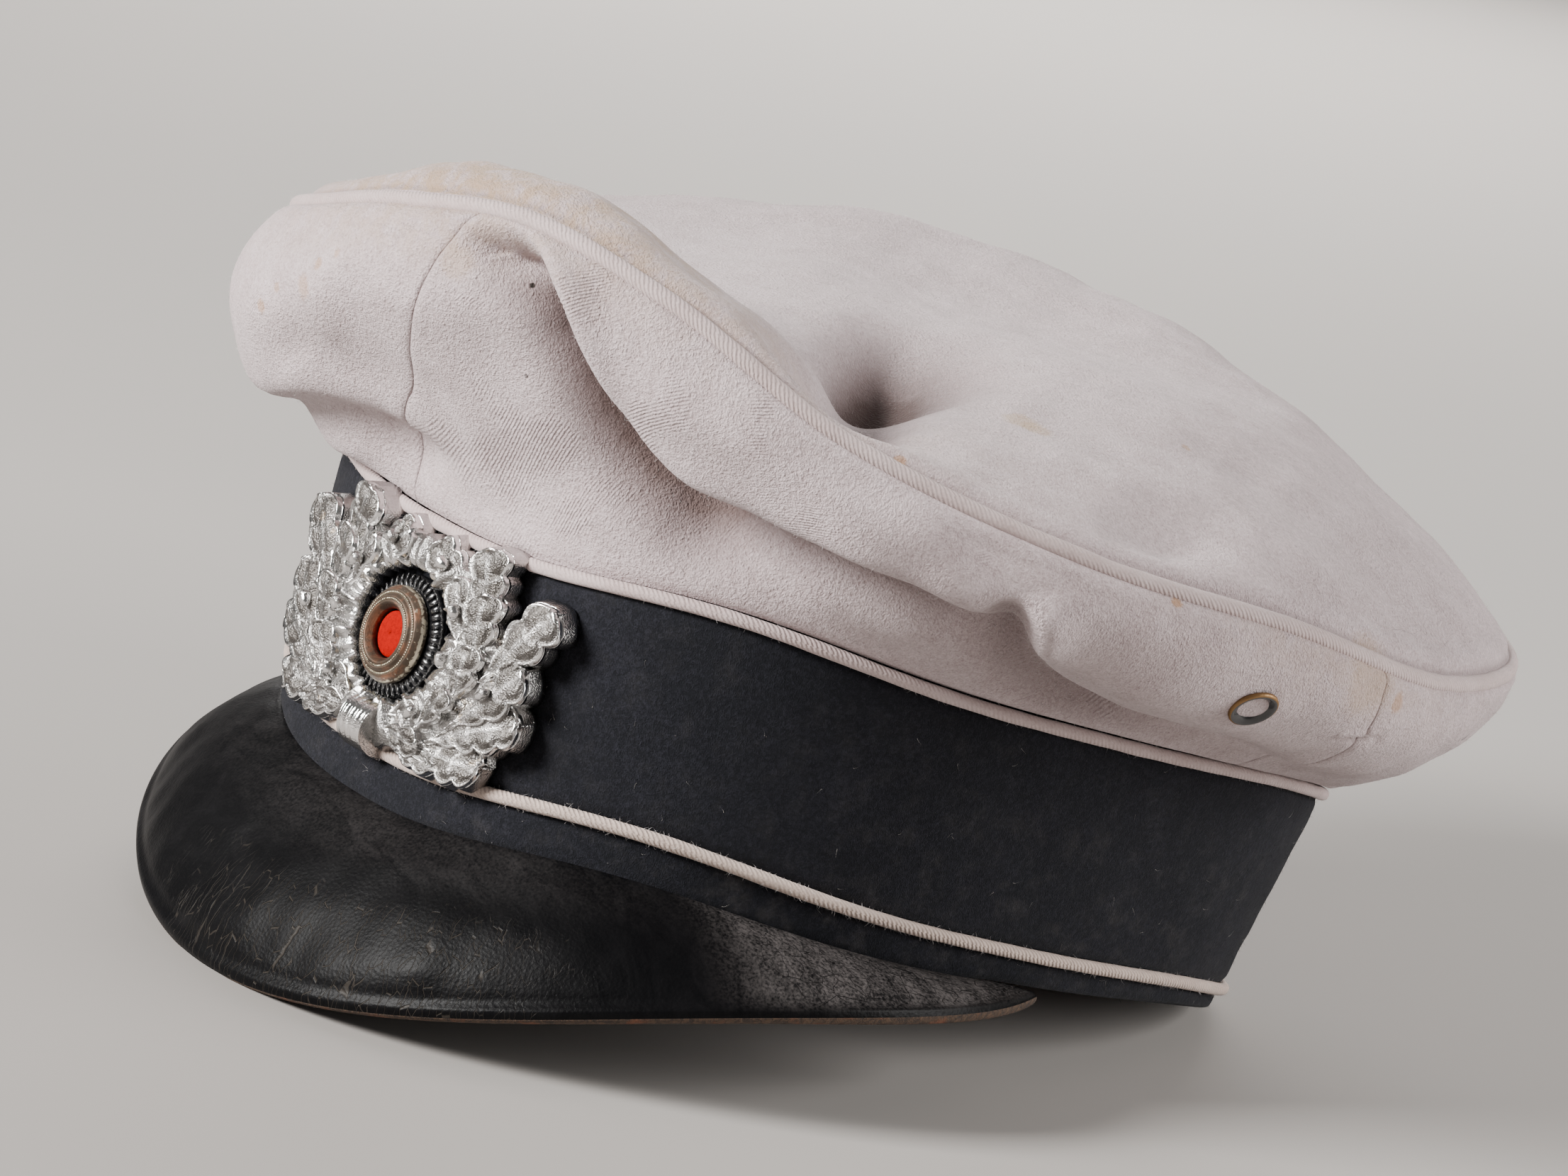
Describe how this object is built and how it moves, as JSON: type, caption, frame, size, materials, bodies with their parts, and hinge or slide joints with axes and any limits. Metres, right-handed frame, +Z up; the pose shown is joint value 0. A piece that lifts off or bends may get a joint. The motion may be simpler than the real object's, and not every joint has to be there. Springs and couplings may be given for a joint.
{
  "type": "peaked cap",
  "caption": "Peaked cap of pale wool with a soft drooping crown, black band between pale cords, black leather peak, oak-leaf wreath and cockade.",
  "frame": {"origin": "centre of the whole cap's box at the surface that it rests on", "axes": "+Z up; -Y to the front, over the peak; +X towards the wearer's left; the cap rests on the peak's front edge and on the back of its band, so the band's axis leans back about 12.5 degrees"},
  "size_m": [0.2494, 0.2832, 0.1591],
  "materials": {
    "pale_wool": "napped pale grey-white wool cloth, stained in places",
    "pale_cord": "cream wool-covered cord",
    "black_wool": "dense blue-black wool cloth",
    "black_leather": "worn black leather, semi-gloss, brown raw edge",
    "bright_aluminium": "cast and burnished, grainy in the recesses",
    "black_lacquer": "gloss black lacquer",
    "tarnished_metal": "tarnished, worn silvering",
    "red_felt": "red felt"
  },
  "bodies": {
    "root": {"crown_top": "pale_wool", "crown_side_left": "pale_wool", "crown_side_right": "pale_wool", "crown_side_back": "pale_wool", "crown_piping": "pale_cord", "band_piping_upper": "pale_cord", "band": "black_wool", "band_piping_lower": "pale_cord", "band_hem": "black_wool", "peak": "black_leather", "wreath": "bright_aluminium", "cockade_base": "black_lacquer", "cockade_ring": "tarnished_metal", "cockade_felt": "red_felt", "vent_eyelet_left": "black_lacquer", "vent_eyelet_right": "black_lacquer"}
  },
  "joints": []
}
